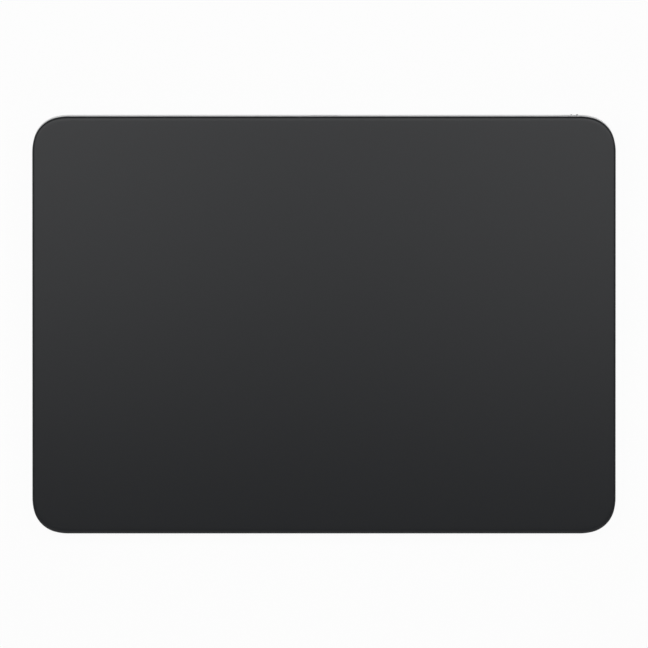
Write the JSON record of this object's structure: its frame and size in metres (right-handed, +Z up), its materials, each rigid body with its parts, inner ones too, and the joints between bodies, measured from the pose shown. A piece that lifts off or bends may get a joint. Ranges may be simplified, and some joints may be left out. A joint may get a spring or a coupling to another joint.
{
  "type": "trackpad",
  "caption": "Slim desk trackpad: a black glass sheet floats on leaf springs over a wedge-shaped aluminium tray with a battery, a haptic magnet, a charging port and a slide switch.",
  "frame": {"origin": "on the desk, under the middle of the pad's plan outline", "axes": "+X to the user's right along the long side, +Y from the user to the rear wall, +Z up from the desk; the glass slopes down towards -Y by 3 degrees"},
  "size_m": [0.16, 0.115, 0.0109],
  "materials": {
    "satin_aluminium": "bead-blasted, anodised silver",
    "black_glass": "etched matt over opaque black ink",
    "seal_rubber": "matt black",
    "foot_rubber": "matt black",
    "adhesive": "clear to white tape",
    "sensor_laminate": "dark green laminate",
    "plate_aluminium": "mill finish",
    "gel": "soft translucent gel",
    "spring_steel": "rolled",
    "screw_steel": "plated",
    "core_iron": "laminated",
    "copper": "enamelled copper",
    "board_green": "solder mask",
    "chip_black": "moulded",
    "black_plastic": "moulded",
    "white_plastic": "moulded",
    "green_label": "printed",
    "knob_plastic": "silver, to match the tray",
    "gold": "plated",
    "amber_film": "flexible circuit film",
    "pouch_foil": "foil pouch"
  },
  "bodies": {
    "case": {"lower_case": "satin_aluminium", "rim_seal": "seal_rubber", "foot_front_left": "foot_rubber", "foot_front_right": "foot_rubber", "foot_rear_left": "foot_rubber", "foot_rear_right": "foot_rubber", "battery_tapes": "adhesive", "leaf_spring_front_left": "spring_steel", "leaf_spring_front_right": "spring_steel", "leaf_spring_rear_left": "spring_steel", "leaf_spring_rear_right": "spring_steel", "magnet_bracket": "spring_steel", "socket_strap": "spring_steel", "socket_shell": "spring_steel", "radio_shield": "spring_steel", "power_shield": "spring_steel", "switch_terminals": "spring_steel", "battery_tabs": "spring_steel", "spring_screws": "screw_steel", "magnet_screws": "screw_steel", "board_screws": "screw_steel", "strap_screws": "screw_steel", "magnet_core": "core_iron", "magnet_coil_left": "copper", "magnet_coil_middle": "copper", "magnet_coil_right": "copper", "antenna_trace": "copper", "main_board": "board_green", "battery_guard_board": "board_green", "touch_controller_chip": "chip_black", "magnet_driver_chip": "chip_black", "memory_chip": "chip_black", "switch_housing": "black_plastic", "socket_tongue": "black_plastic", "touch_ribbon_socket": "black_plastic", "battery_ribbon_socket": "black_plastic", "antenna_carrier": "white_plastic", "switch_label": "green_label", "socket_contacts": "gold", "battery_ribbon": "amber_film", "magnet_ribbon": "amber_film", "gauge_ribbon_left": "amber_film", "gauge_ribbon_right": "amber_film", "strain_gauges": "amber_film", "battery_cell_left": "pouch_foil", "battery_cell_right": "pouch_foil"},
    "touch_surface": {"glass_surface": "black_glass", "bonding_film": "adhesive", "touch_sensor": "sensor_laminate", "backing_plate": "plate_aluminium", "touch_ribbon": "amber_film", "pull_bar": "spring_steel", "gel_pads": "gel"},
    "suspension": {"spring_buttons": "spring_steel"},
    "power_switch": {"switch_slider": "black_plastic", "switch_knob": "knob_plastic"}
  },
  "joints": [
    {"name": "surface_press", "type": "slide", "parent": "case", "child": "suspension", "axis": [0, -0.0523, 0.9986], "range_m": [-0.0002, 0], "stiffness_N_per_m": 10000, "springref_m": 0.00015, "deforming": ["leaf_spring_front_left", "leaf_spring_front_right", "leaf_spring_rear_left", "leaf_spring_rear_right", "touch_ribbon"]},
    {"name": "haptic_shift", "type": "slide", "parent": "suspension", "child": "touch_surface", "axis": [0, 0.9986, 0.0523], "range_m": [-0.00015, 0.00015], "stiffness_N_per_m": 20000, "deforming": ["touch_ribbon"]},
    {"name": "switch_slide", "type": "slide", "parent": "case", "child": "power_switch", "axis": [1, 0, 0], "range_m": [-0.0023, 0]}
  ]
}
